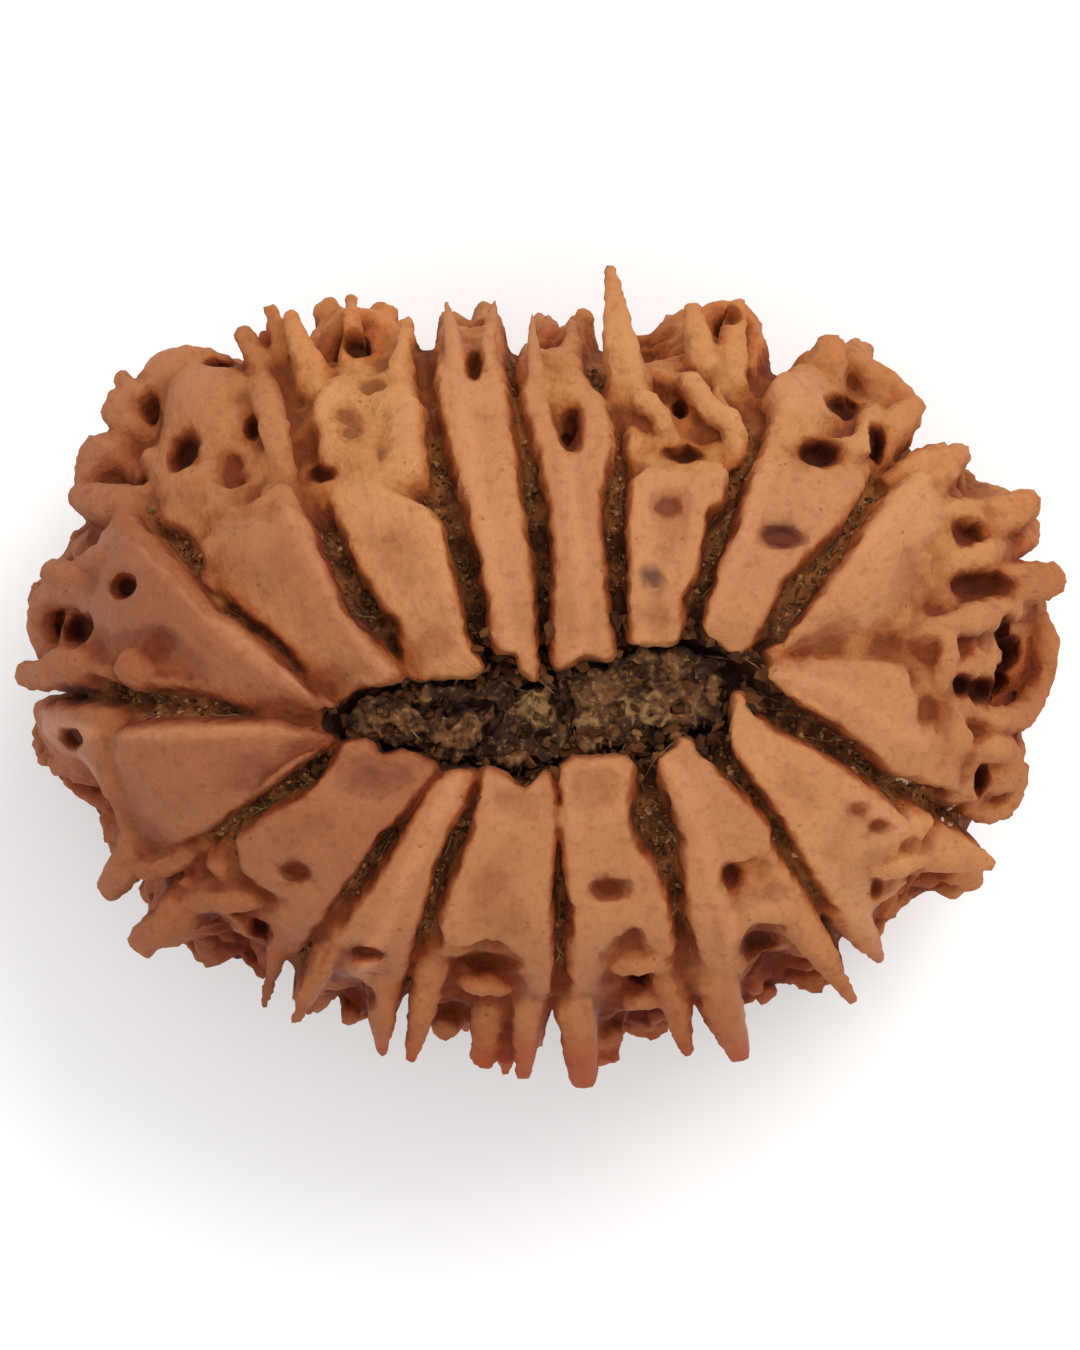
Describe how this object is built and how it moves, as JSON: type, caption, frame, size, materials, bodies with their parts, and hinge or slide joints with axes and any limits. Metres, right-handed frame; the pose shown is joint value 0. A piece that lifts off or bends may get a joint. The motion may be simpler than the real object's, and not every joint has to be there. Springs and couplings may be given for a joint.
{
  "type": "rudraksha seed",
  "caption": "Dried rudraksha stone with broad radial lobes, deep grooves, knobbly horned flanks and a long slot of dried pith at each pole.",
  "frame": {"origin": "middle of the box round the seed, at the height of the surface it rests on", "axes": "+X along the longer side, in line with the slots; +Y across them; +Z from the lower pole to the upper pole"},
  "size_m": [0.0366, 0.0284, 0.0222],
  "materials": {
    "shell": "dried woody stone, orange-brown, satin on the smooth plates and matt in the hollows",
    "pith": "dried crumbly pith, dark brown, matt"
  },
  "bodies": {
    "root": {"seed_stone": "shell", "pith_top": "pith", "pith_base": "pith"}
  },
  "joints": []
}
